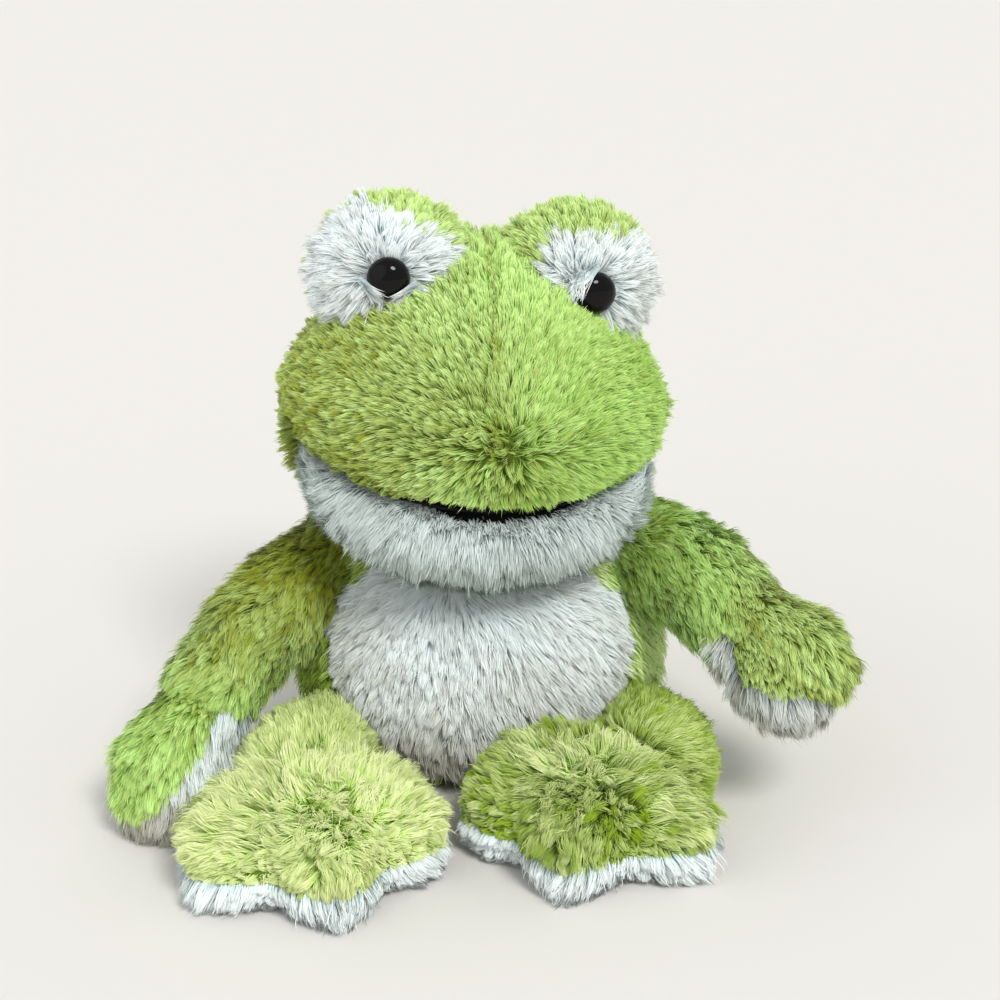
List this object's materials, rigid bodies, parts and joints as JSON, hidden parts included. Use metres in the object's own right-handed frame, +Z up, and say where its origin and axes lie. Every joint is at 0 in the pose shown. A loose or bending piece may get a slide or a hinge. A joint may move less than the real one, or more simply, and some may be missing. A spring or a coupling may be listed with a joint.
{
  "type": "plush frog",
  "caption": "Seated long-pile plush frog with eye mounds, safety eyes, stuffed limbs that flop at their seams, and a head that turns and nods.",
  "frame": {"origin": "middle of the flat face that the toy sits on", "axes": "+Z up, the toy faces -Y, its left side is +X"},
  "size_m": [0.2633, 0.1988, 0.22],
  "materials": {
    "green_plush": "long-pile plush",
    "lime_plush": "long-pile plush",
    "white_plush": "long-pile plush",
    "fibre_stuffing": "loose polyester fibre",
    "pellets": "cloth bag of pellets",
    "black_felt": "felt",
    "eye_plastic": "polished",
    "washer_plastic": "matte",
    "seam_thread": "thread"
  },
  "bodies": {
    "torso": {"torso_skin": "green_plush", "belly_panel": "white_plush", "torso_stuffing": "fibre_stuffing", "seat_pellet_bag": "pellets"},
    "neck": {"neck_seam": "seam_thread"},
    "head": {"head_skin_right": "green_plush", "head_skin_left": "green_plush", "head_stuffing": "fibre_stuffing", "mouth_lining": "black_felt", "jaw_skin": "white_plush", "jaw_stuffing": "fibre_stuffing", "eye_mound_right": "green_plush", "eye_patch_right": "white_plush", "eye_mound_stuffing_right": "fibre_stuffing", "eye_right": "eye_plastic", "eye_washer_right": "washer_plastic", "eye_mound_left": "green_plush", "eye_patch_left": "white_plush", "eye_mound_stuffing_left": "fibre_stuffing", "eye_left": "eye_plastic", "eye_washer_left": "washer_plastic"},
    "arm_right": {"arm_skin_right": "green_plush", "palm_right": "white_plush", "arm_stuffing_right": "fibre_stuffing"},
    "arm_left": {"arm_skin_left": "green_plush", "palm_left": "white_plush", "arm_stuffing_left": "fibre_stuffing"},
    "leg_right": {"leg_skin_right": "green_plush", "leg_stuffing_right": "fibre_stuffing", "foot_top_right": "lime_plush", "sole_right": "white_plush", "foot_stuffing_right": "fibre_stuffing"},
    "leg_left": {"leg_skin_left": "green_plush", "leg_stuffing_left": "fibre_stuffing", "foot_top_left": "lime_plush", "sole_left": "white_plush", "foot_stuffing_left": "fibre_stuffing"}
  },
  "joints": [
    {"name": "head_turn", "type": "hinge", "parent": "torso", "child": "neck", "pos_m": [-0.009, 0, 0.098], "axis": [0, 0, 1], "range_deg": [-15, 15]},
    {"name": "head_nod", "type": "hinge", "parent": "neck", "child": "head", "pos_m": [-0.009, 0, 0.098], "axis": [-1, 0, 0], "range_deg": [-3, 12]},
    {"name": "shoulder_right", "type": "hinge", "parent": "torso", "child": "arm_right", "pos_m": [-0.051, -0.006, 0.082], "axis": [0, 0.7071, -0.7071], "range_deg": [0, 60]},
    {"name": "shoulder_left", "type": "hinge", "parent": "torso", "child": "arm_left", "pos_m": [0.052, -0.006, 0.086], "axis": [0, -0.7071, 0.7071], "range_deg": [-5, 35]},
    {"name": "hip_right", "type": "hinge", "parent": "torso", "child": "leg_right", "pos_m": [-0.048, -0.031, 0.019], "axis": [-1, 0, 0], "range_deg": [0, 12]},
    {"name": "hip_left", "type": "hinge", "parent": "torso", "child": "leg_left", "pos_m": [0.05, -0.026, 0.019], "axis": [-1, 0, 0], "range_deg": [0, 12]}
  ]
}
